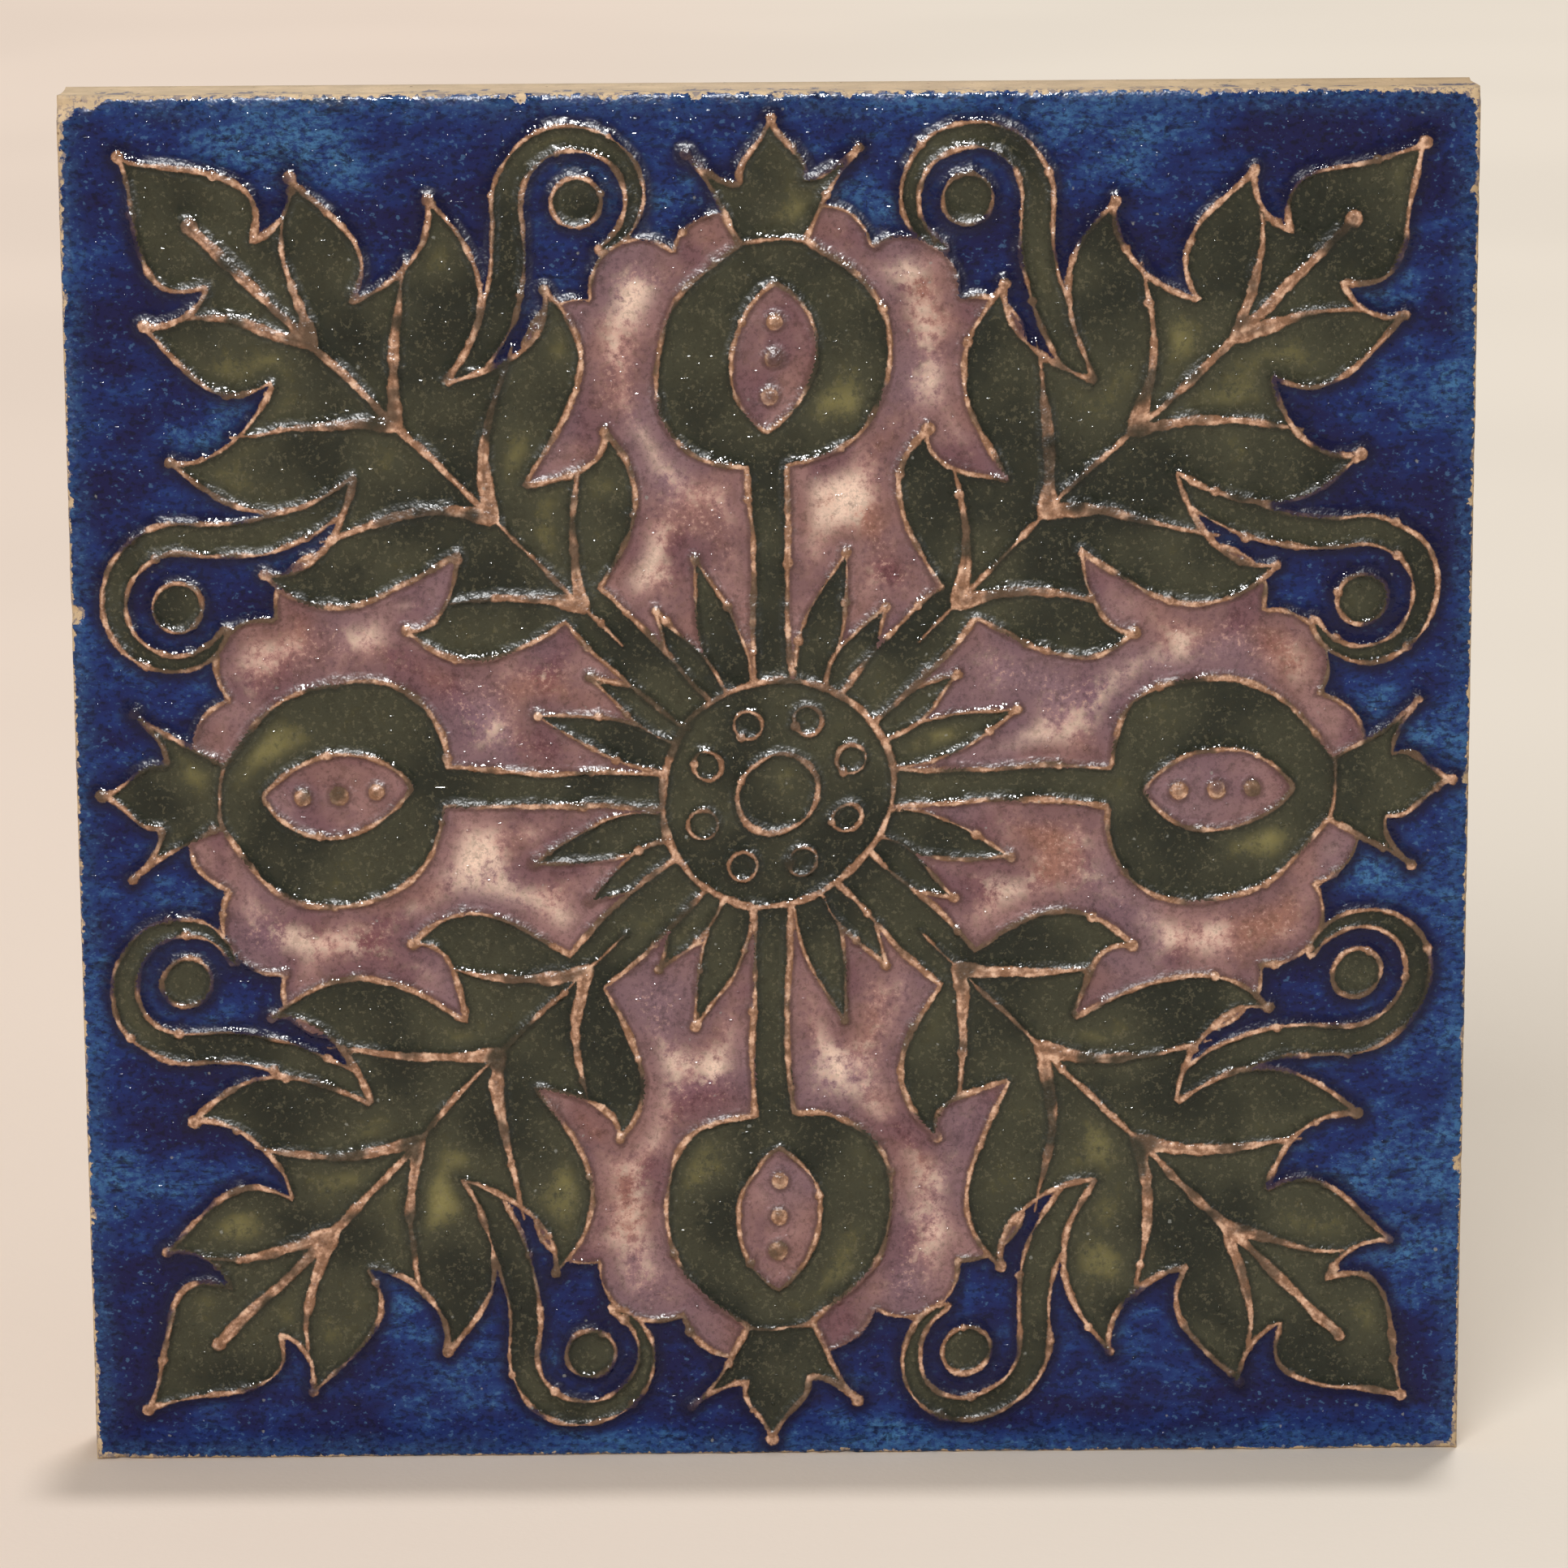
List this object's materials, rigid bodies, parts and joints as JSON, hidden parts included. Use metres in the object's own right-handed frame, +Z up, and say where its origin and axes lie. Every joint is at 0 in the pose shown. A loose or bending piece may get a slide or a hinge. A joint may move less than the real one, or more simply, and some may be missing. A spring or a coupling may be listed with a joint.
{
  "type": "ceramic tile",
  "caption": "Square hand-made wall tile with raised slip-trailed ornament, cells of mottled glaze between the lines, and a keyed back.",
  "frame": {"origin": "centre of the flat back, where the tile is bedded against the wall", "axes": "+Y from the decorated face through the back into the wall, +Z up the face, +X to the right as the face is seen"},
  "size_m": [0.152, 0.0119, 0.152],
  "materials": {
    "tile": "fired clay body, buff and unglazed on the edges and back, with mottled cobalt, mauve and dark olive glazes held between bare raised slip lines on the face"
  },
  "bodies": {
    "root": {"tile": "tile"}
  },
  "joints": []
}
